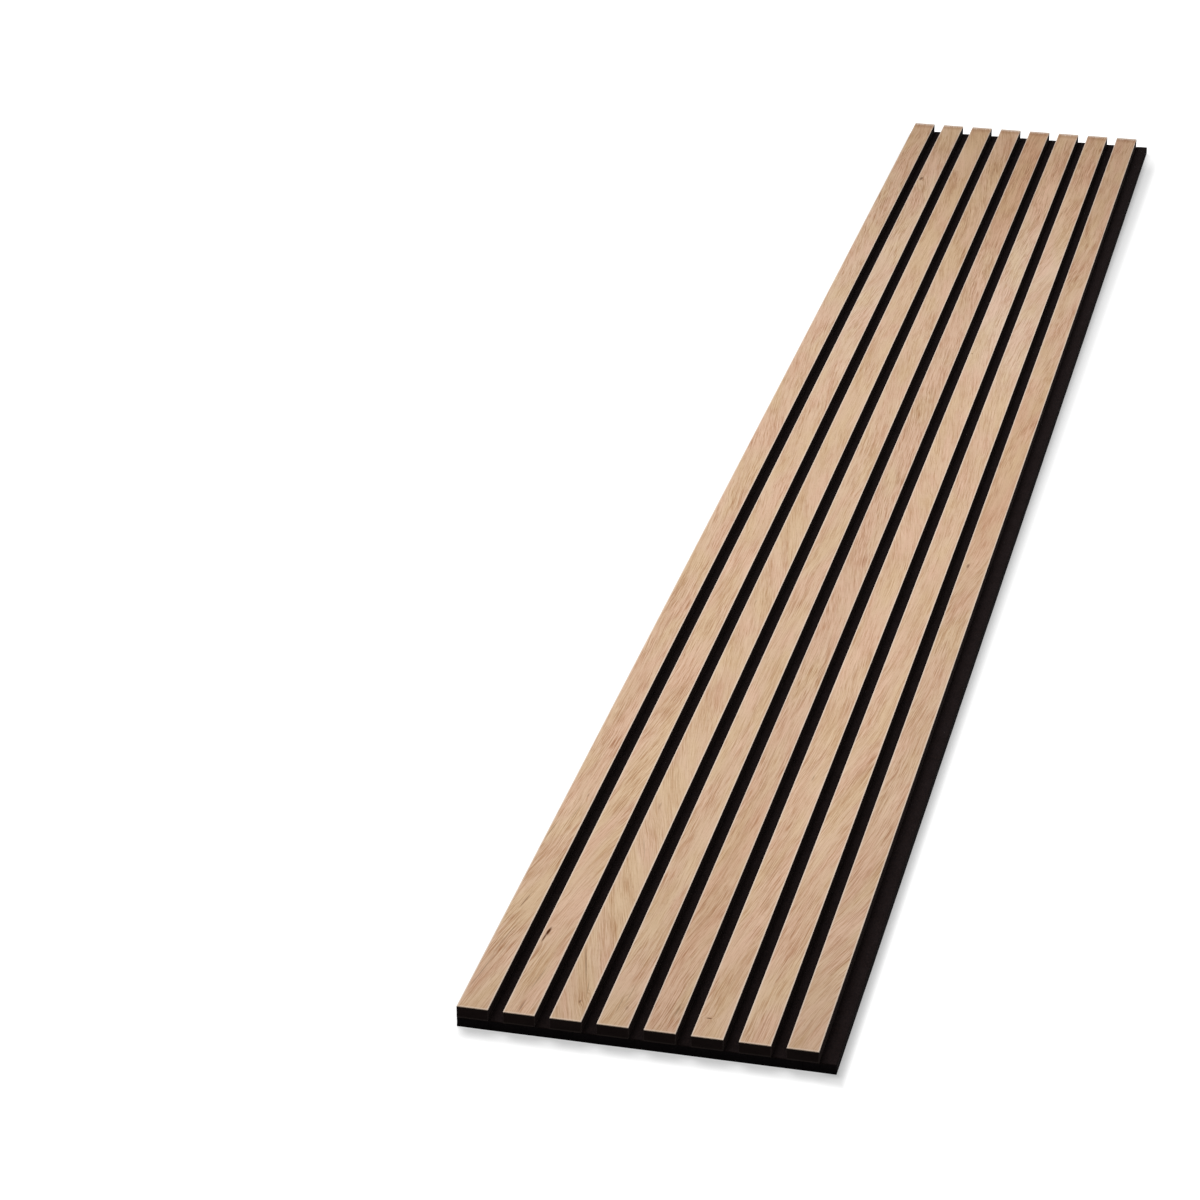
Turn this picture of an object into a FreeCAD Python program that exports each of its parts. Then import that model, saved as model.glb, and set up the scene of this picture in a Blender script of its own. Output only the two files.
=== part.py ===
"""Acoustic slat wall panel: eight oak-veneered slats stapled to a black felt backing.

The panel lies on its back. X runs across the slats, Y along them and Z out of the wall.
The origin is the middle of the felt's back face, which is the face that meets the wall.
Each slat is a bar of black fibreboard with a sheet of oak veneer on its front face. Staples
driven through the felt from behind hold the slats, with their crowns sunk below its back.
The felt ends flush with the first slat and a little more than one gap beyond the last, so that
the next panel, fitted against it, leaves a gap there too.
"""

import FreeCAD, Part
import os

import Sketcher

OUT_FOLDER = "parts"

# Every driving dimension, in millimetres apart from the two counts, and what it measures.
DIMENSIONS = {
    "panel_length": (2400.0, "length of the slats and of the felt"),
    "slat_count": (8, "number of slats side by side"),
    "slat_width": (27.0, "width of one slat"),
    "slat_gap": (13.0, "clear gap between two slats"),
    "felt_margin": (15.0, "bare felt beyond the last slat"),
    "core_thickness": (10.4, "thickness of the fibreboard bar in a slat"),
    "veneer_thickness": (0.6, "thickness of the oak sheet on a slat"),
    "veneer_arris": (0.35, "radius sanded on the veneer's long edges"),
    "felt_thickness": (9.0, "thickness of the felt backing"),
    "staple_rows": (7, "staples along each slat"),
    "staple_end_distance": (60.0, "panel end to the middle of the nearest staple"),
    "staple_crown": (12.8, "outside width of a staple"),
    "staple_reach": (6.5, "depth of a staple's tips in the fibreboard"),
    "staple_sink": (0.3, "depth of a staple's crown below the felt's back face"),
    "staple_point": (0.6, "length of the bevel that sharpens a leg"),
    "staple_bend": (0.5, "outside radius of the bend between crown and leg"),
    "wire_width": (0.95, "width of the staple's flat wire"),
    "wire_thickness": (0.65, "thickness of the staple's flat wire"),
}

# Values worked out from the driving ones.
PITCH = "(Dimensions.slat_width + Dimensions.slat_gap)"
SLAT_SPAN = f"((Dimensions.slat_count - 1) * {PITCH})"
PANEL_WIDTH = f"({SLAT_SPAN} + Dimensions.slat_width + Dimensions.felt_margin)"
FIRST_SLAT_X = f"(Dimensions.slat_width / 2 - {PANEL_WIDTH} / 2)"
FIRST_ROW_Y = "(Dimensions.staple_end_distance - Dimensions.panel_length / 2)"
ROW_SPAN = "(Dimensions.panel_length - 2 * Dimensions.staple_end_distance)"
VENEER_Z = "(Dimensions.felt_thickness + Dimensions.core_thickness)"
CROWN_TOP_Z = "(Dimensions.staple_sink + Dimensions.wire_thickness)"
STAPLE_TIP_Z = "(Dimensions.felt_thickness + Dimensions.staple_reach)"

# How constraints name a line's two ends, a sketch's axes and its origin point.
START, END = 1, 2
H_AXIS, V_AXIS = -1, -2
ORIGIN = (-1, 1)


def make_sheet(doc):
    """The sheet of driving dimensions, one named cell each."""
    sheet = doc.addObject("Spreadsheet::Sheet", "Dimensions")
    for row, (alias, (value, meaning)) in enumerate(DIMENSIONS.items(), start=1):
        sheet.set(f"A{row}", meaning)
        sheet.set(f"B{row}", str(value))
        sheet.setAlias(f"B{row}", alias)
    doc.recompute()
    return sheet


def make_body(doc, label, x="0", z="0"):
    """An empty piece, moved to its place in the panel."""
    body = doc.addObject("PartDesign::Body", label)
    body.Label = label
    body.setExpression("Placement.Base.x", x)
    body.setExpression("Placement.Base.z", z)
    return body


def origin_feature(body, role):
    """A body's own origin plane or axis, such as XY_Plane or Y_Axis."""
    return next(f for f in body.Origin.OriginFeatures if f.Role == role)


def make_sketch(body, name, plane, along="0", out="0"):
    """An empty sketch on an origin plane, moved along its own X axis and out of the plane."""
    sketch = body.newObject("Sketcher::SketchObject", name)
    sketch.AttachmentSupport = [(origin_feature(body, plane), "")]
    sketch.MapMode = "FlatFace"
    sketch.setExpression("AttachmentOffset.Base.x", along)
    sketch.setExpression("AttachmentOffset.Base.z", out)
    return sketch


def add_outline(sketch, corners):
    """A closed chain of lines through the corners, joined end to end."""
    edges = []
    for start, end in zip(corners, corners[1:] + corners[:1]):
        line = Part.LineSegment(FreeCAD.Vector(*start, 0), FreeCAD.Vector(*end, 0))
        edges.append(sketch.addGeometry(line, False))
    for edge, following in zip(edges, edges[1:] + edges[:1]):
        constrain(sketch, "Coincident", edge, END, following, START)
    return edges


def constrain(sketch, kind, *where):
    return sketch.addConstraint(Sketcher.Constraint(kind, *where))


def align(sketch, horizontal=(), vertical=()):
    for edge in horizontal:
        constrain(sketch, "Horizontal", edge)
    for edge in vertical:
        constrain(sketch, "Vertical", edge)


def mirror_points(sketch, right, left):
    """Keeps two points, each an edge and one of its ends, alike about the upright axis."""
    constrain(sketch, "Symmetric", *right, *left, V_AXIS)


def read(sketch, expression):
    """An expression's value now, so that an outline starts out at its own size."""
    return float(sketch.evalExpression(expression))


def size(sketch, name, expression, kind, *where):
    """A named dimension of a sketch that follows an expression."""
    index = constrain(sketch, kind, *where, read(sketch, expression))
    sketch.renameConstraint(index, name)
    sketch.setExpression(f"Constraints.{name}", expression)


def round_corner(sketch, edge, radius):
    """Rounds the corner at the end of an edge, and gives the arc that takes its place."""
    sketch.fillet(edge, END, radius)
    return sketch.GeometryCount - 1


def extrude(body, sketch, length):
    """A solid that reaches half the length to each side of its sketch."""
    feature = body.newObject("PartDesign::Pad", f"{body.Label}_pad")
    feature.Profile = sketch
    feature.SideType = "Symmetric"
    feature.setExpression("Length", length)
    return feature


def cut_slot(body, sketch):
    """A slot as wide as the staple's wire, half of it to each side of its sketch."""
    feature = body.newObject("PartDesign::Pocket", f"{body.Label}_slot")
    feature.Profile = sketch
    feature.Type = "Length"
    feature.SideType = "Symmetric"
    feature.setExpression("Length", "Dimensions.wire_width")
    return feature


def repeat_in_rows(body, feature, over_slats=False):
    """Repeats a feature at every row of staples, and over all the slats if asked."""
    pattern = body.newObject("PartDesign::LinearPattern", f"{body.Label}_rows")
    pattern.Originals = [feature]
    pattern.Mode = "Extent"
    pattern.Direction = (origin_feature(body, "Y_Axis"), [""])
    pattern.setExpression("Length", ROW_SPAN)
    pattern.setExpression("Occurrences", "Dimensions.staple_rows")
    if over_slats:
        pattern.Mode2 = "Extent"
        pattern.Direction2 = (origin_feature(body, "X_Axis"), [""])
        pattern.setExpression("Length2", SLAT_SPAN)
        pattern.setExpression("Occurrences2", "Dimensions.slat_count")
    body.Tip = pattern


def draw_block(sketch, width, height):
    """A rectangle that stands on the sketch's origin."""
    half, tall = read(sketch, width) / 2, read(sketch, height)
    corners = [(-half, 0), (half, 0), (half, tall), (-half, tall)]
    bottom, right, top, left = add_outline(sketch, corners)
    align(sketch, (top,), (right, left))
    mirror_points(sketch, (bottom, END), (bottom, START))
    constrain(sketch, "PointOnObject", bottom, START, H_AXIS)
    size(sketch, "width", width, "DistanceX", bottom, START, bottom, END)
    size(sketch, "height", height, "DistanceY", bottom, END, top, START)


def draw_veneer(sketch):
    """A veneer's section: flat below, with its two upper corners sanded round."""
    half = read(sketch, "Dimensions.slat_width") / 2
    thick = read(sketch, "Dimensions.veneer_thickness")
    arris = read(sketch, "Dimensions.veneer_arris")
    corners = [(-half, 0), (half, 0), (half, thick), (-half, thick)]
    bottom, right, top, left = add_outline(sketch, corners)
    right_arris = round_corner(sketch, right, arris)
    left_arris = round_corner(sketch, top, arris)
    align(sketch, (top,), (right, left))
    mirror_points(sketch, (bottom, END), (bottom, START))
    constrain(sketch, "PointOnObject", bottom, START, H_AXIS)
    constrain(sketch, "Equal", right_arris, left_arris)
    size(sketch, "width", "Dimensions.slat_width", "DistanceX", bottom, START, bottom, END)
    size(sketch, "thickness", "Dimensions.veneer_thickness", "DistanceY", bottom, END, top, START)
    size(sketch, "arris", "Dimensions.veneer_arris", "Radius", right_arris)


def shape_leg(sketch, outer, bevel, inner):
    """Keeps a staple's leg upright and as thick as the wire, with its tip cut to a point."""
    align(sketch, vertical=(outer, inner))
    ends = (bevel, END, bevel, START)
    size(sketch, "leg_thickness", "Dimensions.wire_thickness", "DistanceX", *ends)
    size(sketch, "point_length", "Dimensions.staple_point", "DistanceY", *ends)


def draw_staple(sketch):
    """A staple's side view: the crown below, its round bends and two legs with chisel points."""
    half = read(sketch, "Dimensions.staple_crown") / 2
    thick = read(sketch, "Dimensions.wire_thickness")
    sink = read(sketch, "Dimensions.staple_sink")
    tip = read(sketch, STAPLE_TIP_Z)
    shoulder = tip - read(sketch, "Dimensions.staple_point")
    bend = read(sketch, "Dimensions.staple_bend")
    right_leg = [(half, sink), (half, tip), (half - thick, shoulder)]
    right_leg += [(half - thick, sink + thick)]
    left_leg = [(-x, y) for x, y in reversed(right_leg)]
    edges = add_outline(sketch, right_leg + left_leg)
    outer, bevel, inner, inner_crown, left_inner, left_bevel, left_outer, crown = edges
    right_bend = round_corner(sketch, crown, bend)
    left_bend = round_corner(sketch, left_outer, bend)
    shape_leg(sketch, outer, bevel, inner)
    align(sketch, (crown, inner_crown), (left_inner, left_outer))
    mirror_points(sketch, (bevel, START), (left_bevel, END))
    mirror_points(sketch, (bevel, END), (left_bevel, START))
    constrain(sketch, "Equal", right_bend, left_bend)
    size(sketch, "bend", "Dimensions.staple_bend", "Radius", right_bend)
    legs = (left_outer, START, outer, END)
    size(sketch, "crown_width", "Dimensions.staple_crown", "DistanceX", *legs)
    crown_sides = (crown, START, inner_crown, START)
    size(sketch, "crown_thickness", "Dimensions.wire_thickness", "DistanceY", *crown_sides)
    size(sketch, "sink", "Dimensions.staple_sink", "DistanceY", *ORIGIN, crown, START)
    size(sketch, "tip_height", STAPLE_TIP_Z, "DistanceY", *ORIGIN, outer, END)


def draw_felt_seat(sketch):
    """The room a driven staple takes in the felt: its crown, its legs and its way in."""
    half = read(sketch, "Dimensions.staple_crown") / 2
    thick = read(sketch, "Dimensions.wire_thickness")
    felt = read(sketch, "Dimensions.felt_thickness")
    crown_top = read(sketch, CROWN_TOP_Z)
    right_leg = [(half, 0), (half, felt), (half - thick, felt), (half - thick, crown_top)]
    left_leg = [(-x, y) for x, y in reversed(right_leg)]
    edges = add_outline(sketch, right_leg + left_leg)
    outer, top, inner, inner_crown, left_inner, left_top, left_outer, mouth = edges
    align(sketch, (top, left_top, mouth), (outer, inner, left_inner, left_outer))
    mirror_points(sketch, (outer, END), (left_outer, START))
    mirror_points(sketch, (inner, END), (left_inner, START))
    constrain(sketch, "PointOnObject", mouth, START, H_AXIS)
    size(sketch, "crown_width", "Dimensions.staple_crown", "DistanceX", mouth, START, mouth, END)
    size(sketch, "leg_thickness", "Dimensions.wire_thickness", "DistanceX", top, END, top, START)
    size(sketch, "crown_top", CROWN_TOP_Z, "DistanceY", mouth, START, inner_crown, START)
    size(sketch, "felt", "Dimensions.felt_thickness", "DistanceY", mouth, START, top, START)


def draw_core_seat(sketch):
    """The room that a driven staple's two legs take in the fibreboard."""
    half = read(sketch, "Dimensions.staple_crown") / 2
    thick = read(sketch, "Dimensions.wire_thickness")
    tip = read(sketch, "Dimensions.staple_reach")
    shoulder = tip - read(sketch, "Dimensions.staple_point")
    right_leg = [(half - thick, 0), (half, 0), (half, tip), (half - thick, shoulder)]
    right = add_outline(sketch, right_leg)
    left = add_outline(sketch, [(-x, y) for x, y in right_leg])
    bottom, outer, bevel, inner = right
    shape_leg(sketch, outer, bevel, inner)
    align(sketch, (bottom,))
    constrain(sketch, "PointOnObject", bottom, START, H_AXIS)
    for right_edge, left_edge in zip(right, left):
        mirror_points(sketch, (right_edge, START), (left_edge, START))
    legs = (left[1], START, outer, START)
    size(sketch, "crown_width", "Dimensions.staple_crown", "DistanceX", *legs)
    size(sketch, "reach", "Dimensions.staple_reach", "DistanceY", *ORIGIN, outer, END)


def make_felt(doc):
    """The backing: one sheet of felt, with a seat for every staple."""
    body = make_body(doc, "felt_backing")
    section = make_sketch(body, "felt_section", "XZ_Plane")
    draw_block(section, PANEL_WIDTH, "Dimensions.felt_thickness")
    extrude(body, section, "Dimensions.panel_length")
    seat = make_sketch(body, "felt_seat", "YZ_Plane", along=FIRST_ROW_Y, out=FIRST_SLAT_X)
    draw_felt_seat(seat)
    repeat_in_rows(body, cut_slot(body, seat), over_slats=True)
    return body


def make_core(doc, number):
    """A slat's bar of black fibreboard, with the seats of its own row of staples."""
    x = f"{FIRST_SLAT_X} + {number - 1} * {PITCH}"
    body = make_body(doc, f"slat_{number}_core", x, "Dimensions.felt_thickness")
    section = make_sketch(body, f"core_section_{number}", "XZ_Plane")
    draw_block(section, "Dimensions.slat_width", "Dimensions.core_thickness")
    extrude(body, section, "Dimensions.panel_length")
    seat = make_sketch(body, f"core_seat_{number}", "YZ_Plane", along=FIRST_ROW_Y)
    draw_core_seat(seat)
    repeat_in_rows(body, cut_slot(body, seat))
    return body


def make_veneer(doc, number):
    """A slat's sheet of oak, as long and as wide as the bar that it is glued to."""
    x = f"{FIRST_SLAT_X} + {number - 1} * {PITCH}"
    body = make_body(doc, f"slat_{number}_veneer", x, VENEER_Z)
    section = make_sketch(body, f"veneer_section_{number}", "XZ_Plane")
    draw_veneer(section)
    extrude(body, section, "Dimensions.panel_length")
    return body


def make_staples(doc):
    """All the staples, each a solid of its own, in rows along every slat."""
    body = make_body(doc, "staples")
    body.AllowCompound = True
    side = make_sketch(body, "staple_side", "YZ_Plane", along=FIRST_ROW_Y, out=FIRST_SLAT_X)
    draw_staple(side)
    repeat_in_rows(body, extrude(body, side, "Dimensions.wire_width"), over_slats=True)
    return body


def check(doc, pieces):
    """Stops the build if a feature has failed or a piece has no sound shape."""
    for item in doc.Objects:
        if "Invalid" in item.State or "Error" in item.State:
            raise RuntimeError(f"{item.Label} failed: {item.State}")
    for piece in pieces:
        if piece.Shape.isNull() or not piece.Shape.isValid():
            raise RuntimeError(f"{piece.Label} has no sound shape")


def export(pieces):
    os.makedirs(OUT_FOLDER, exist_ok=True)
    for piece in pieces:
        piece.Shape.exportStep(os.path.join(OUT_FOLDER, f"{piece.Label}.step"))


def main():
    doc = FreeCAD.newDocument("SlatPanel")
    sheet = make_sheet(doc)
    pieces = [make_felt(doc)]
    for number in range(1, int(sheet.slat_count) + 1):
        pieces.append(make_core(doc, number))
        pieces.append(make_veneer(doc, number))
    pieces.append(make_staples(doc))
    doc.recompute()
    check(doc, pieces)
    export(pieces)


main()
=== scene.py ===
"""An acoustic slat wall panel, lying face up: eight oak-faced slats on a sheet of black felt."""

import math
from collections import namedtuple

import bpy
import numpy as np
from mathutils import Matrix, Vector


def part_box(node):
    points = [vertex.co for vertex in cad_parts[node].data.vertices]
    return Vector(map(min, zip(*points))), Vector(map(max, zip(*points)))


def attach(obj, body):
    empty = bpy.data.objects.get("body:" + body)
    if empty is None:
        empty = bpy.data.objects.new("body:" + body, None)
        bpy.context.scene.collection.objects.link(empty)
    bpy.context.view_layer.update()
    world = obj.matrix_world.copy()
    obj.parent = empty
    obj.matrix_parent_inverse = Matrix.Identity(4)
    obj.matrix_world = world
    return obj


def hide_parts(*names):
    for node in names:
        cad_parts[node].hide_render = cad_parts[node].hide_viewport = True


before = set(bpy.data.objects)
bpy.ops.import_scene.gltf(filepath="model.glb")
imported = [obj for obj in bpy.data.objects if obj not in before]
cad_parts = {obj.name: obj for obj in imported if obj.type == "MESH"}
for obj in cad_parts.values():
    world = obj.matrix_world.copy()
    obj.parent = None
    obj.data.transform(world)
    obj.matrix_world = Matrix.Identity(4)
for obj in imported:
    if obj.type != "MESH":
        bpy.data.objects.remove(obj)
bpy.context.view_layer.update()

# Sizes are in metres, and the names that end in MM are in millimetres, for patterns inside materials
MM = 0.001

# The panel's own places, from the frame
FELT_LOW, FELT_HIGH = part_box("felt_backing")
LEFT_MM, NEAR_MM, BACK_MM = (place / MM for place in FELT_LOW)
RIGHT_MM, FAR_MM, FRONT_MM = (place / MM for place in FELT_HIGH)
LENGTH_MM = FAR_MM - NEAR_MM

# The felt's pressed and cut shape. Its staples lie in rows, with their crowns sunk in dents
CUT_INSET_MM = 0.30
CUT_RINGS = ((0.08, 0.975), (0.0, 0.90), (0.08, 0.5), (0.0, 0.10), (0.08, 0.025))
CUT_WAVE_MM = 0.07
PUFF_MM = 0.4
STAPLE_ROWS = 7
STAPLE_END_MM = 60.0
DENT_DEPTH_MM = 1.05
DENT_X_MM = (6.6, 7.5, 8.8, 10.5)
DENT_Y_MM = (0.6, 1.5, 2.6, 4.5)
GRID_X_MM = 4.5
GRID_Y_MM = 9.0

# The camera stands in front of the near end, to its right, and looks down along the panel
CAMERA_AT = (0.58265, -3.79164, 1.67560)
CAMERA_DIP_DEG = 25.436
CAMERA_TURN_DEG = 13.467
SENSOR_MM = 36.0
LENS_MM = 113.175

# Light: even daylight, one soft sun from the far left, and a broad softbox low over the panel
SKY_STRENGTH = 0.164
SUN_RISE_DEG = 54.0
SUN_TURN_DEG = 50.0
SUN_WIDTH_DEG = 36.0
SUN_STRENGTH = 1.86
LAMP_AT = (-0.25, -0.155, 0.42)
LAMP_SIZE = (1.8, 2.067)
LAMP_POWER = 4.75

# The floor is lifted to white where it is looked at, and less beside the panel, so its shadow stays; the lower lifts by
# the right and near edges also paint a grey shadow band there.
# Each lift is the one at an edge of the panel, and each width is how far from that edge it becomes 1.
# The taper is the stretch before the far corner in which the right edge's shadow fades
FLOOR_HALF_WIDTH = 40.0
FLOOR_ALBEDO = 0.516
FLOOR_LIFT_RIGHT = 0.37
FLOOR_LIFT_NEAR = 0.50
FLOOR_LIFT_ELSEWHERE = 0.70
FLOOR_WIDTH_RIGHT_MM = (16.0, 33.0)
FLOOR_WIDTH_NEAR_MM = 34.0
FLOOR_WIDTH_LEFT_MM = 45.0
FLOOR_WIDTH_FAR_MM = 25.0
FLOOR_TAPER_MM = 85.0


def srgb(red, green, blue):
    """A colour written as it looks on a screen, 0 to 255, as the linear colour that a shader takes."""
    def linear(level):
        share = level / 255.0
        return share / 12.92 if share <= 0.04045 else ((share + 0.055) / 1.055) ** 2.4
    return linear(red), linear(green), linear(blue), 1.0


class Graph:
    """A material's nodes, added by short calls that take values or sockets and return a socket."""

    def __init__(self, name):
        self.material = bpy.data.materials.new(name)
        self.material.use_nodes = True
        self.tree = self.material.node_tree
        self.tree.nodes.clear()

    def add(self, kind, inputs, **settings):
        node = self.tree.nodes.new("ShaderNode" + kind)
        for key, value in settings.items():
            setattr(node, key, value)
        for key, value in inputs.items():
            if isinstance(value, bpy.types.NodeSocket):
                self.tree.links.new(value, node.inputs[key])
            else:
                node.inputs[key].default_value = value
        return node

    def math(self, operation, *values):
        return self.add("Math", dict(enumerate(values)), operation=operation).outputs[0]

    def plus(self, *values):
        total = values[0]
        for value in values[1:]:
            total = self.math("ADD", total, value)
        return total

    def times(self, *values):
        product = values[0]
        for value in values[1:]:
            product = self.math("MULTIPLY", product, value)
        return product

    def fit(self, value, low, high, to_low=0.0, to_high=1.0):
        """Value moved smoothly from the range low..high to the range to_low..to_high."""
        places = {0: value, 1: low, 2: high, 3: to_low, 4: to_high}
        return self.add("MapRange", places, interpolation_type="SMOOTHSTEP").outputs[0]

    def point(self, across, along, depth=0.0):
        return self.add("CombineXYZ", {0: across, 1: along, 2: depth}).outputs[0]

    def noise(self, where, detail=2.0, roughness=0.5):
        """Cloudy noise from 0 to 1 with a feature size of about one unit of `where`."""
        inputs = {"Vector": where, "Scale": 1.0, "Detail": detail, "Roughness": roughness}
        return self.add("TexNoise", inputs).outputs["Fac"]

    def spread(self, across, along, size, seed, reach, detail=1.0):
        """Noise around 0, size mm wide and long, whose whole range is `reach`."""
        where = self.point(self.times(across, 1 / size[0]), self.times(along, 1 / size[1]), seed)
        return self.times(self.plus(self.noise(where, detail), -0.5), reach)

    def curve(self, value, points):
        """Value from 0 to 1 sent through a smooth curve on these points."""
        node = self.add("FloatCurve", {"Value": value})
        line = node.mapping.curves[0]
        while len(line.points) < len(points):
            line.points.new(0.5, 0.5)
        for dot, (x, y) in zip(line.points, points):
            dot.location = (x, y)
        node.mapping.update()
        return node.outputs[0]

    def ramp(self, value, stops):
        node = self.add("ValToRGB", {"Fac": value})
        while len(node.color_ramp.elements) < len(stops):
            node.color_ramp.elements.new(0.5)
        for element, (place, colour) in zip(node.color_ramp.elements, stops):
            element.position = place
            element.color = colour
        return node.outputs["Color"]

    def blend(self, share, under, over, how="MIX"):
        inputs = {0: share, 6: under, 7: over}
        return self.add("Mix", inputs, data_type="RGBA", blend_type=how).outputs[2]

    def bump(self, height, distance, strength=1.0, normal=None):
        inputs = {"Height": height, "Distance": distance, "Strength": strength}
        if normal is not None:
            inputs["Normal"] = normal
        return self.add("Bump", inputs).outputs[0]

    def place_mm(self):
        """The point's place in the panel's frame: across, along and up, in millimetres."""
        place = self.add("TexCoord", {}).outputs["Object"]
        scaled = self.add("VectorMath", {0: place, "Scale": 1.0 / MM}, operation="SCALE").outputs[0]
        return self.add("SeparateXYZ", {0: scaled}).outputs

    def principled(self, **inputs):
        """Ends the material in one shader. An input's name is the socket's, with _ for a space."""
        sockets = {name.replace("_", " "): value for name, value in inputs.items()}
        shader = self.add("BsdfPrincipled", sockets)
        self.add("OutputMaterial", {"Surface": shader.outputs[0]})
        return self.material


# One slat's oak. Lightness, redness and contrast are relative to the panel's mean, and band is how
# wide a soft band of its grain is, in mm. Each slope is a
# distance from the near end in mm and how many mm the grain runs to the right there per 100 mm. Each
# mark is a dark knot or dash: mm from the near end, mm from the left edge, half its length, half its
# width, turn in degrees, strength. Each stretch is paler wood, or redder and darker wood where its
# last number is below 0: mm from the near end to its middle, half its length, strength
Oak = namedtuple("Oak", "lightness redness contrast band slopes marks stretches")
OAKS = (
    Oak(1.00, 0.10, 1.15, 3.0,
        ((0, 15), (110, 15), (300, 12), (420, 6), (600, 2), (900, -2), (1200, -8), (1420, -9),
         (1600, -2), (1900, -3), (2100, -6), (2400, 4)),
        ((60, 6.0, 34.0, 0.6, 7, 0.45), (120, 11.5, 30.0, 0.5, 9, 0.40), (184, 12.0, 14.0, 0.7, 8, 0.50),
         (312, 3.0, 22.0, 0.7, 6, 0.40), (350, 17.0, 20.0, 0.6, 5, 0.30), (384, 20.0, 4.0, 0.9, 0, 0.35)),
        ((1930, 380, 0.55),)),
    Oak(1.015, 0.00, 1.05, 3.2,
        ((0, 13), (150, 14), (260, 24), (400, 17), (600, 6), (850, 2), (1200, -5), (1500, -6),
         (1690, 14), (1900, 0), (2200, -8), (2400, -10)),
        ((136, 4.8, 8.5, 1.7, 5, 1.00), (126, 3.7, 9.0, 1.0, 4, 0.85), (12, 13.0, 12.0, 0.8, 5, 0.45),
         (60, 16.0, 22.0, 0.6, 7, 0.35), (2168, 5.0, 8.0, 2.2, 4, 0.70)),
        ((1950, 550, 0.75),)),
    Oak(1.015, -0.35, 0.75, 7.0,
        ((0, -31), (200, -28), (380, -28), (560, -8), (800, -10), (950, -20), (1200, -3),
         (1500, -2), (1800, 3), (2100, -6), (2400, -14)),
        ((92, 8.8, 32.0, 0.7, -14, 0.50), (31, 18.5, 3.0, 1.0, 0, 0.50), (52, 20.0, 14.0, 0.6, -8, 0.35),
         (300, 12.0, 20.0, 0.6, -14, 0.30), (380, 8.8, 7.0, 1.0, 0, 0.25), (827, 8.8, 5.0, 0.8, 0, 0.25)),
        ()),
    Oak(1.00, 0.00, 0.90, 2.6,
        ((0, 13), (150, 10), (300, 4), (600, 3), (900, 3), (1100, 4), (1300, -7), (1500, -5),
         (1800, -5), (2100, -6), (2400, -14)),
        ((34, 12.0, 16.0, 0.5, 3, 0.40), (30, 19.0, 4.0, 1.5, 0, 0.25), (52, 17.0, 18.0, 0.5, 4, 0.30)),
        ()),
    Oak(0.96, 0.75, 1.20, 3.0,
        ((0, 10), (100, 14), (300, 11), (450, 3), (700, 2), (850, -14), (960, -12), (1050, -2),
         (1300, -8), (1500, -8), (1800, -4), (2100, -2), (2400, 3)),
        ((36, 21.0, 12.0, 1.0, 6, 0.4),),
        ((250, 250, -0.45), (2280, 320, -0.75))),
    Oak(1.02, 0.05, 0.92, 2.8,
        ((0, 8), (120, 16), (300, 12), (430, 13), (600, 4), (900, -8), (1100, -15), (1400, -8),
         (1700, -4), (1950, 10), (2050, 3), (2400, -3)),
        ((30, 9.0, 0.9, 3.0, 0, 0.85), (465, 15.5, 7.0, 0.8, 5, 0.35), (1557, 3.5, 2.0, 1.5, 0, 0.4)),
        ((1800, 320, 1.00),)),
    Oak(1.01, 0.05, 0.88, 3.0,
        ((0, 4), (150, 14), (300, 15), (500, 18), (600, 6), (1000, 4), (1250, -10), (1450, -8),
         (1560, 8), (1900, 12), (2050, 6), (2200, 2), (2400, 0)),
        (),
        ((1730, 300, 0.85),)),
    Oak(0.945, 0.15, 0.98, 5.5,
        ((0, 18), (60, 26), (180, 32), (300, 20), (450, 8), (600, 6), (850, 4), (920, 25), (980, 5),
         (1200, 2), (1600, 5), (1800, 5), (2100, 4), (2400, -3)),
        ((963, 6.5, 6.0, 1.8, 0, 0.5),),
        ((1230, 330, -0.65),)),
)

# The first colour is a painted highlight for the slats' edges. The line colour serves both the grain's dark lines and a
# painted shaded line at the far end
OAK_PAINTED_HIGHLIGHT = srgb(236, 218, 201)
OAK_PALE = srgb(225, 195, 166)
OAK_MEAN = srgb(213, 181, 151)
OAK_BROWN = srgb(191, 151, 118)
OAK_DARK = srgb(164, 120, 86)
OAK_LINE_AND_SHADE = srgb(156, 105, 72)
OAK_PORE = srgb(140, 97, 67)
OAK_KNOT = srgb(84, 45, 20)
OAK_PINK = (1.020, 0.980, 1.010, 1.0)
OAK_STRAW = (0.990, 1.005, 0.950, 1.0)
# The richer colour serves both a slat's redder stretches and the painted shade towards the far end
OAK_RICHER_AND_SHADE = (0.970, 0.900, 0.820, 1.0)
OAK_PALER = (1.043, 1.100, 1.180, 1.0)


def drift_curve(slopes):
    """The grain's sideways run in mm: its curve on 0 to 1, and the lowest and highest run."""
    along = np.array([place for place, _ in slopes], float)
    slope = np.array([percent for _, percent in slopes], float) / 100.0
    steps = np.diff(along) * (slope[1:] + slope[:-1]) / 2
    run = np.concatenate([[0.0], np.cumsum(steps)])
    low, high = run.min(), run.max()
    points = [(y / LENGTH_MM, (r - low) / (high - low)) for y, r in zip(along, run)]
    return points, low, high


def oak_marks(g, across, along, marks):
    """How dark the knots and dashes make each point, 0 to 1, and how far they push the grain, in mm."""
    dark, push = 0.0, 0.0
    for place, side, length, width, turn, strength in marks:
        cosine, sine = math.cos(math.radians(turn)), math.sin(math.radians(turn))
        y = g.math("SUBTRACT", along, place)
        x = g.math("SUBTRACT", across, side)
        lengthwise = g.plus(g.times(y, cosine / length), g.times(x, sine / length))
        crosswise = g.plus(g.times(x, cosine / width), g.times(y, -sine / width))
        distance = g.math("SQRT", g.plus(g.times(lengthwise, lengthwise), g.times(crosswise, crosswise)))
        dark = g.math("MAXIMUM", dark, g.fit(distance, 0.35, 1.25, strength, 0.0))
        push = g.plus(push, g.fit(distance, 0.0, 5.0, 2.5 * strength, 0.0))
    return dark, push


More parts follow.
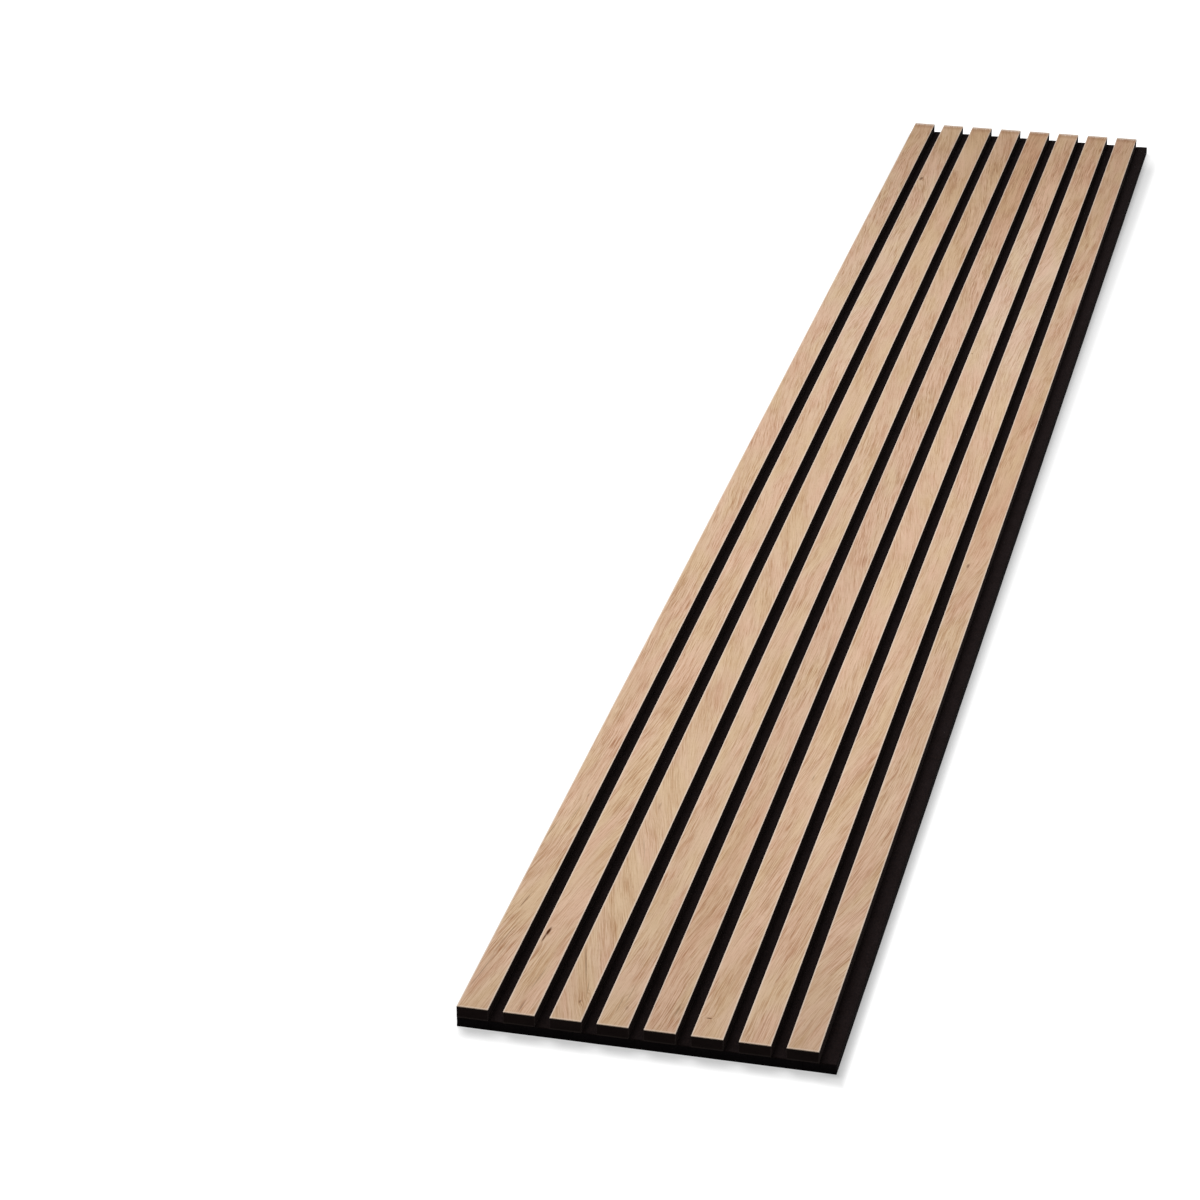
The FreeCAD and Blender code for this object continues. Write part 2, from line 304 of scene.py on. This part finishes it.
def oak_material(number, oak):
    """Matt-lacquered oak veneer: rings cut lengthwise, broken streaks, open pores and broad tints."""
    g = Graph(f"oak_veneer_{number}")
    low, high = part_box(f"slat_{number}_veneer")
    x, y, z = g.place_mm()
    across = g.math("SUBTRACT", x, low.x / MM)
    along = g.math("SUBTRACT", y, NEAR_MM)
    seed = 37.0 * number

    # The grain's own across: where a ring drifts sideways, sways and is pushed round a knot
    points, least, most = drift_curve(oak.slopes)
    run = g.curve(g.times(along, 1.0 / LENGTH_MM), points)
    drift = g.plus(g.times(run, most - least), least)
    dark, push = oak_marks(g, across, along, oak.marks)
    sway = g.spread(across, along, (50, 210), seed, 14.0)
    ripple = g.spread(across, along, (7, 30), seed + 1, 1.6)
    fray = g.spread(across, along, (1.6, 9), seed + 2, 0.3)
    ring = g.plus(g.math("SUBTRACT", across, drift), sway, ripple, fray, push)

    # Tone at four widths, from soft bands to single vessels
    broad = g.plus(g.fit(y, -900.0, -250.0, 0.62, 0.58), g.fit(y, 400.0, 1100.0, 0.0, 0.38))
    clouds = g.times(g.spread(ring, along, (14, 130), seed + 3, 0.75), broad)
    bands = g.times(g.spread(ring, along, (oak.band, 160), seed + 5, 1.10, 3.0), broad)
    streaks = g.spread(ring, along, (1.1, 58), seed + 11, 1.15, 2.0)
    vessels = g.spread(ring, along, (0.50, 24), seed + 13, 1.35)
    figure = g.noise(g.point(g.times(across, 1 / 30), g.times(along, 1 / 110), seed + 23), 1.0)
    calm = g.plus(g.fit(y, -900.0, -250.0, 0.90, 0.76), g.fit(y, 400.0, 1100.0, 0.0, 0.20))
    contrast = g.times(g.fit(figure, 0.35, 0.65, 0.55 * oak.contrast, 1.15 * oak.contrast), calm)
    tone = g.plus(0.5, clouds, g.times(g.plus(bands, streaks, vessels), contrast))
    colour = g.ramp(tone, ((0.0, OAK_DARK), (0.28, OAK_BROWN), (0.52, OAK_MEAN), (0.90, OAK_PALE)))

    # Broken thin lines where a ring's pores begin, then the pores themselves
    lines = g.noise(g.point(g.times(ring, 1 / 1.3), g.times(along, 1 / 66), seed + 17), 1.0)
    line = g.times(g.fit(lines, 0.59, 0.71), contrast, 0.52)
    colour = g.blend(line, colour, OAK_LINE_AND_SHADE)
    pores = g.noise(g.point(g.times(ring, 1 / 0.32), g.times(along, 1 / 7), seed + 29), 1.0)
    pore = g.times(g.fit(pores, 0.60, 0.72), g.fit(bands, -0.2, 0.2, 1.0, 0.4))
    colour = g.blend(g.times(pore, 0.44), colour, OAK_PORE)

    tint = g.noise(g.point(g.times(ring, 1 / 24), g.times(along, 1 / 120), seed + 41), 2.0)
    tint = g.plus(tint, 0.12 * oak.redness)
    colour = g.blend(g.fit(tint, 0.48, 0.66), colour, g.blend(1.0, colour, OAK_PINK, "MULTIPLY"))
    colour = g.blend(g.fit(tint, 0.52, 0.36), colour, g.blend(1.0, colour, OAK_STRAW, "MULTIPLY"))
    stretch = 0.5
    for place, half, strength in oak.stretches:
        away = g.math("ABSOLUTE", g.plus(along, -place))
        stretch = g.plus(stretch, g.fit(away, 0.3 * half, 1.3 * half, 0.5 * strength, 0.0))
    if oak.stretches:
        colour = g.blend(1.0, colour, g.blend(stretch, OAK_RICHER_AND_SHADE, OAK_PALER), "MULTIPLY")
    # Painted shade: every slat turns darker and redder towards the far end
    colour = g.blend(g.fit(along, 1600.0, 2350.0, 0.0, 0.85), colour, OAK_RICHER_AND_SHADE, "MULTIPLY")
    colour = g.blend(dark, colour, OAK_KNOT)

    # Painted highlights run along the long arrises and the near end's top edge, where the edges catch the light. At the
    # far end a painted shaded line and then a painted highlight band cross, wavy along the grain
    middle = (high.x - low.x) / MM / 2
    side = g.math("ABSOLUTE", g.math("SUBTRACT", across, middle))
    # Painted highlight along both long arrises
    arris = g.fit(side, middle - 1.5, middle - 0.6)
    colour = g.blend(g.times(arris, 0.72), colour, OAK_PAINTED_HIGHLIGHT)
    # Painted highlight along the near end's top edge
    colour = g.blend(g.fit(along, 2.6, 0.8, 0.0, 0.45), colour, OAK_PAINTED_HIGHLIGHT)
    # At the far end, a painted shaded line and then a painted highlight band, wavy along the grain
    wavy_along = g.plus(along, g.times(streaks, 12.0))
    colour = g.blend(g.fit(wavy_along, LENGTH_MM - 22.0, LENGTH_MM - 12.0, 0.0, 0.35), colour, OAK_LINE_AND_SHADE)
    colour = g.blend(g.fit(wavy_along, LENGTH_MM - 9.0, LENGTH_MM - 3.0, 0.0, 0.80), colour, OAK_PAINTED_HIGHLIGHT)
    level = (oak.lightness,) * 3 + (1.0,)
    colour = g.blend(1.0, colour, level, "MULTIPLY")

    relief = g.plus(g.times(pore, -1.0), g.times(streaks, 0.4), g.times(dark, -0.2))
    normal = g.bump(relief, 0.00006, 0.7)
    rough = g.fit(g.plus(pore, g.times(bands, 0.4)), 0.0, 1.2, 0.48, 0.66)
    rough = g.fit(dark, 0.0, 0.6, rough, 1.0)
    return g.principled(Base_Color=colour, Roughness=rough, Normal=normal, Specular_IOR_Level=0.04)


# Black fibreboard's tones, and last the colour of a painted highlight on its corners and foot
FIBRE_BLACK = srgb(28, 21, 20)
FIBRE_GREY = srgb(48, 38, 36)
FIBRE_HIGHLIGHT = srgb(76, 68, 65)


def fibreboard_material(number):
    """Black-dyed fibreboard: matted fibres, faint saw lines on the sides, and a painted highlight along its corners and
    foot.
    """
    g = Graph(f"black_fibreboard_{number}")
    low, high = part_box(f"slat_{number}_core")
    x, y, z = g.place_mm()
    seed = 13.0 * number
    fibres = g.noise(g.point(g.times(x, 1 / 0.9), g.times(y, 1 / 1.6), g.plus(g.times(z, 1 / 0.5), seed)), 4.0, 0.65)
    clouds = g.noise(g.point(g.times(x, 1 / 22), g.times(y, 1 / 60), g.plus(g.times(z, 1 / 9), seed)), 2.0)
    saw = g.noise(g.point(seed, g.times(y, 1 / 1.3), g.times(z, 1 / 60)), 1.0)
    tone = g.plus(g.times(fibres, 0.8), g.times(clouds, 0.5), g.times(saw, 0.25), -0.35)
    colour = g.ramp(tone, ((0.30, FIBRE_BLACK), (0.85, FIBRE_GREY)))

    # A corner is where two of the block's faces are close by
    middle = ((low + high) / 2) / MM
    half = ((high - low) / 2) / MM
    near = []
    for place, centre, reach in zip((x, y, z), middle, half):
        offset = g.math("ABSOLUTE", g.math("SUBTRACT", place, centre))
        near.append(g.fit(offset, reach - 0.6, reach - 0.1))
    corner = g.math("MAXIMUM", g.times(near[0], near[1]), g.times(g.math("MAXIMUM", near[0], near[1]), near[2]))
    foot = g.fit(z, low.z / MM + 1.7, low.z / MM + 0.4)
    # Painted highlight along the corners and the foot, broken up by the fibres
    edge_highlight = g.times(g.math("MAXIMUM", corner, foot), g.fit(fibres, 0.40, 0.62, 0.5, 1.0), 0.6)
    colour = g.blend(edge_highlight, colour, FIBRE_HIGHLIGHT)

    relief = g.plus(fibres, g.times(saw, 0.6))
    normal = g.bump(relief, 0.00015, 0.8)
    return g.principled(Base_Color=colour, Roughness=0.85, Normal=normal, Specular_IOR_Level=0.03)


# The last felt colour is painted warm bounce light from the oak
FELT_BLACK = srgb(13, 10, 11)
FELT_GREY = srgb(35, 30, 32)
FELT_WARM_BOUNCE = srgb(52, 37, 32)


def felt_material():
    """Needled polyester felt: matted black fibres with some grey ones, needle pricks, a faint sheen and painted warm
    bounce light on its top face.
    """
    g = Graph("black_felt")
    x, y, z = g.place_mm()
    bend = g.times(g.noise(g.point(g.times(x, 1 / 5), g.times(y, 1 / 5), g.times(z, 1 / 5)), 1.0), 9.0)
    strands_a = g.noise(g.point(g.plus(g.times(x, 1 / 0.35), bend), g.times(y, 1 / 3.0), g.times(z, 1 / 0.8)), 3.0, 0.6)
    strands_b = g.noise(g.point(g.times(x, 1 / 3.0), g.plus(g.times(y, 1 / 0.35), bend), g.times(z, 1 / 0.8)), 3.0, 0.6)
    strands = g.math("MAXIMUM", strands_a, strands_b)
    clouds = g.noise(g.point(g.times(x, 1 / 14), g.times(y, 1 / 20), g.times(z, 1 / 3)), 3.0, 0.6)
    pricks = g.noise(g.point(g.times(x, 1 / 1.1), g.times(y, 1 / 1.1), g.times(z, 1 / 6)), 1.0)
    prick = g.fit(pricks, 0.62, 0.75)
    tone = g.plus(g.times(strands, 0.9), g.times(clouds, 0.4), g.times(prick, -0.35), -0.25)
    colour = g.ramp(tone, ((0.25, FELT_BLACK), (0.75, FELT_GREY)))
    # Painted warm bounce light from the oak: a brown tint over the strands of the top face
    face = g.fit(z, FRONT_MM - 0.7, FRONT_MM - 0.1)
    colour = g.blend(g.times(face, g.fit(strands, 0.4, 0.75), 0.45), colour, FELT_WARM_BOUNCE)
    relief = g.plus(strands, g.times(clouds, 0.8), g.times(prick, -0.8))
    normal = g.bump(relief, 0.0004, 0.8)
    return g.principled(Base_Color=colour, Roughness=0.95, Normal=normal, Specular_IOR_Level=0.02,
                        Sheen_Weight=0.02, Sheen_Roughness=0.6, Sheen_Tint=FELT_GREY)


STEEL = (0.56, 0.56, 0.55, 1.0)
STEEL_DULL = (0.36, 0.36, 0.36, 1.0)


def staple_material():
    """Galvanised staple wire: drawn steel with lines along the wire and dull patches."""
    g = Graph("staple_steel")
    x, y, z = g.place_mm()
    drawn = g.noise(g.point(g.times(x, 1 / 0.08), g.times(y, 1 / 4.0), g.times(z, 1 / 4.0)), 2.0)
    dull = g.noise(g.point(g.times(x, 1 / 2.5), g.times(y, 1 / 2.5), g.times(z, 1 / 2.5)), 3.0, 0.6)
    colour = g.ramp(g.plus(g.times(dull, 0.7), g.times(drawn, 0.3)), ((0.35, STEEL_DULL), (0.65, STEEL)))
    rough = g.fit(dull, 0.3, 0.7, 0.26, 0.48)
    normal = g.bump(drawn, 0.00001, 0.5)
    return g.principled(Base_Color=colour, Metallic=1.0, Roughness=rough, Normal=normal)


def dress(node, material):
    """Gives a carried-over part its material in every slot."""
    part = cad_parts[node]
    part.data.materials.clear()
    part.data.materials.append(material)


def grid_lines(kept, step):
    """The kept places in order, with more put evenly between two that are over one step apart."""
    kept = sorted(kept)
    lines = []
    for here, there in zip(kept, kept[1:]):
        count = math.ceil((there - here) / step - 1e-6)
        lines.extend(here + (there - here) * share / count for share in range(count))
    return np.array(lines + [kept[-1]])


def lumps(x, y, seed):
    """Gentle unevenness from about -1 to 1, made of seeded waves 24 to 90 mm long."""
    rng = np.random.default_rng(seed)
    total = np.zeros_like(x)
    for _ in range(14):
        length, turn, phase = rng.uniform(24, 90), rng.uniform(0, math.tau), rng.uniform(0, math.tau)
        total += np.sin(math.tau / length * (x * math.cos(turn) + y * math.sin(turn)) + phase)
    return total / 14 * 2.2


def falloff(distance, full, none):
    """1 up to `full`, 0 from `none`, and a smooth fall between them."""
    share = np.clip((distance - full) / (none - full), 0, 1)
    return 1 - share * share * (3 - 2 * share)


def make_felt():
    """The felt sheet: puffed up a little between the slats, dented at the staples, with soft cut edges."""
    spans = [[corner.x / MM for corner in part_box(f"slat_{number}_core")] for number in range(1, len(OAKS) + 1)]
    middles = [(left + right) / 2 for left, right in spans]
    rows = np.linspace(NEAR_MM + STAPLE_END_MM, FAR_MM - STAPLE_END_MM, STAPLE_ROWS)

    kept_x = {LEFT_MM + CUT_INSET_MM, LEFT_MM + 1.3, RIGHT_MM - 1.3, RIGHT_MM - CUT_INSET_MM}
    kept_x.update(middle + side * reach for middle in middles for reach in DENT_X_MM for side in (-1, 1))
    kept_x.update(edge for left, right in spans for edge in (left, right, right + 1.4))
    kept_x.update(left - 1.4 for left, right in spans[1:])
    kept_x.discard(spans[0][0])
    kept_y = {NEAR_MM + CUT_INSET_MM, NEAR_MM + 1.3, FAR_MM - 1.3, FAR_MM - CUT_INSET_MM}
    kept_y.update(row + side * reach for row in rows for reach in DENT_Y_MM for side in (-1, 1))
    x, y = np.meshgrid(grid_lines(kept_x, GRID_X_MM), grid_lines(kept_y, GRID_Y_MM))

    # The front puffs up where no slat presses on it, and the back is dented where a crown pulls it in
    free = np.min([np.maximum(left - x, x - right) for left, right in spans], axis=0).clip(0)
    puff = 1 - np.exp(-free / 1.6)
    front = FRONT_MM + puff * (PUFF_MM + 0.16 * lumps(x, y, 5))
    dent_x = np.max([falloff(np.abs(x - middle), DENT_X_MM[0], DENT_X_MM[-1]) for middle in middles], axis=0)
    dent_y = np.max([falloff(np.abs(y - row), DENT_Y_MM[0], DENT_Y_MM[-1]) for row in rows], axis=0)
    hollow = (0.07 + 0.07 * lumps(x, y, 6)).clip(0)
    back = BACK_MM + hollow + (DENT_DEPTH_MM - hollow) * dent_x * dent_y

    # The rim runs round both grids in step, with rings of cut edge between front and back
    tall, wide = x.shape
    index = np.arange(tall * wide).reshape(tall, wide)
    rim = np.concatenate([index[0, :-1], index[:-1, -1], index[-1, :0:-1], index[:0:-1, 0]])
    rim_x, rim_y = x.ravel()[rim], y.ravel()[rim]
    vertices = [np.column_stack([x.ravel(), y.ravel(), z.ravel()]) for z in (front, back)]
    rings = [rim]
    for level, (inset, height) in enumerate(CUT_RINGS):
        inward = inset + CUT_WAVE_MM * (1 + lumps(rim_x, rim_y, 20 + level)).clip(0)
        ring_x = np.where(rim_x < LEFT_MM + 1, LEFT_MM + inward, rim_x)
        ring_x = np.where(rim_x > RIGHT_MM - 1, RIGHT_MM - inward, ring_x)
        ring_y = np.where(rim_y < NEAR_MM + 1, NEAR_MM + inward, rim_y)
        ring_y = np.where(rim_y > FAR_MM - 1, FAR_MM - inward, ring_y)
        vertices.append(np.column_stack([ring_x, ring_y, np.full(len(rim), BACK_MM + height * (FRONT_MM - BACK_MM))]))
        rings.append(2 * index.size + level * len(rim) + np.arange(len(rim)))
    rings.append(rim + index.size)

    cell = [index[:-1, :-1], index[:-1, 1:], index[1:, 1:], index[1:, :-1]]
    faces = [np.column_stack([corner.ravel() for corner in cell])]
    faces.append(faces[0][:, ::-1] + index.size)
    for upper, lower in zip(rings, rings[1:]):
        faces.append(np.column_stack([upper, lower, np.roll(lower, -1), np.roll(upper, -1)]))

    mesh = bpy.data.meshes.new("felt_sheet")
    mesh.from_pydata((np.concatenate(vertices) * MM).tolist(), [], np.concatenate(faces).tolist())
    mesh.shade_smooth()
    mesh.materials.append(felt_material())
    felt = bpy.data.objects.new("felt_sheet", mesh)
    bpy.context.scene.collection.objects.link(felt)
    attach(felt, "root")
    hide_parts("felt_backing")


def floor_material():
    """A white floor that keeps the panel's shadow: plain paint, lifted to white where it is looked at, and lifted less
    by the right and near edges, which paints a shadow band there.
    """
    g = Graph("floor_white")
    paint = g.add("BsdfDiffuse", {"Color": (FLOOR_ALBEDO,) * 3 + (1.0,)})
    path = g.add("LightPath", {}).outputs
    seen = g.plus(path["Is Camera Ray"], path["Is Glossy Ray"], path["Is Transmission Ray"])
    x, y, z = g.place_mm()
    right, left = g.plus(x, -RIGHT_MM), g.math("SUBTRACT", LEFT_MM, x)
    far, near = g.plus(y, -FAR_MM), g.math("SUBTRACT", NEAR_MM, y)
    away = g.math("DIVIDE", right, g.fit(y, NEAR_MM, FAR_MM, *FLOOR_WIDTH_RIGHT_MM))
    away = g.math("MAXIMUM", away, g.times(near, 1.0 / FLOOR_WIDTH_NEAR_MM))
    away = g.math("MAXIMUM", away, g.times(left, 1.0 / FLOOR_WIDTH_LEFT_MM))
    away = g.math("MAXIMUM", away, g.times(far, 1.0 / FLOOR_WIDTH_FAR_MM))
    # Painted shadow: the lift is lower beside the near and right edges, and tapers off before the far corner
    before = g.times(g.fit(near, -10.0, 5.0), g.fit(left, 5.0, -15.0))
    close = g.fit(before, 0.0, 1.0, FLOOR_LIFT_ELSEWHERE, FLOOR_LIFT_NEAR)
    beside = g.fit(far, -FLOOR_TAPER_MM, 0.0, FLOOR_LIFT_RIGHT, FLOOR_LIFT_ELSEWHERE)
    close = g.fit(right, -20.0, 4.0, close, beside)
    lift = g.fit(away, 0.25, 1.0, close, 1.0)
    glow = g.add("Emission", {"Color": (1.0, 1.0, 1.0, 1.0), "Strength": g.times(seen, lift)})
    both = g.add("AddShader", {0: paint.outputs[0], 1: glow.outputs[0]})
    g.add("OutputMaterial", {"Surface": both.outputs[0]})
    return g.material


def make_floor():
    mesh = bpy.data.meshes.new("floor")
    reach = FLOOR_HALF_WIDTH
    corners = [(-reach, -reach, 0.0), (reach, -reach, 0.0), (reach, reach, 0.0), (-reach, reach, 0.0)]
    mesh.from_pydata(corners, [], [(0, 1, 2, 3)])
    mesh.materials.append(floor_material())
    floor = bpy.data.objects.new("floor", mesh)
    bpy.context.scene.collection.objects.link(floor)


def make_world():
    """Plain white daylight that looks pure white where it is looked at or reflected."""
    world = bpy.data.worlds.new("daylight")
    world.use_nodes = True
    tree = world.node_tree
    back = tree.nodes["Background"]
    path = tree.nodes.new("ShaderNodeLightPath")
    seen = path.outputs["Is Camera Ray"]
    for kind in ("Is Glossy Ray", "Is Transmission Ray"):
        either = tree.nodes.new("ShaderNodeMath")
        either.operation = "MAXIMUM"
        tree.links.new(seen, either.inputs[0])
        tree.links.new(path.outputs[kind], either.inputs[1])
        seen = either.outputs[0]
    level = tree.nodes.new("ShaderNodeMapRange")
    level.inputs["To Min"].default_value = SKY_STRENGTH
    level.inputs["To Max"].default_value = 1.0
    tree.links.new(seen, level.inputs["Value"])
    back.inputs["Color"].default_value = (1.0, 1.0, 1.0, 1.0)
    tree.links.new(level.outputs[0], back.inputs["Strength"])
    bpy.context.scene.world = world


def make_lamps():
    sun = bpy.data.lights.new("sun", "SUN")
    sun.energy = SUN_STRENGTH
    sun.angle = math.radians(SUN_WIDTH_DEG)
    holder = bpy.data.objects.new("sun", sun)
    rise, turn = math.radians(SUN_RISE_DEG), math.radians(SUN_TURN_DEG)
    aim = Vector((math.cos(rise) * math.cos(turn), -math.cos(rise) * math.sin(turn), -math.sin(rise)))
    holder.rotation_euler = aim.to_track_quat("-Z", "Y").to_euler()
    bpy.context.scene.collection.objects.link(holder)

    lamp = bpy.data.lights.new("soft_lamp", "AREA")
    lamp.shape = "RECTANGLE"
    lamp.size, lamp.size_y = LAMP_SIZE
    lamp.energy = LAMP_POWER
    holder = bpy.data.objects.new("soft_lamp", lamp)
    holder.location = LAMP_AT
    holder.visible_camera = False
    bpy.context.scene.collection.objects.link(holder)


def make_camera():
    lens = bpy.data.cameras.new("camera")
    lens.sensor_width = SENSOR_MM
    lens.lens = LENS_MM
    lens.clip_start, lens.clip_end = 0.1, 200.0
    camera = bpy.data.objects.new("camera", lens)
    camera.location = CAMERA_AT
    camera.rotation_euler = (math.radians(90 - CAMERA_DIP_DEG), 0.0, math.radians(CAMERA_TURN_DEG))
    bpy.context.scene.collection.objects.link(camera)
    bpy.context.scene.camera = camera


for number, oak in enumerate(OAKS, 1):
    dress(f"slat_{number}_veneer", oak_material(number, oak))
    dress(f"slat_{number}_core", fibreboard_material(number))
dress("staples", staple_material())
make_felt()

make_floor()
make_world()
make_lamps()
make_camera()
bpy.context.scene.view_settings.view_transform = "Standard"
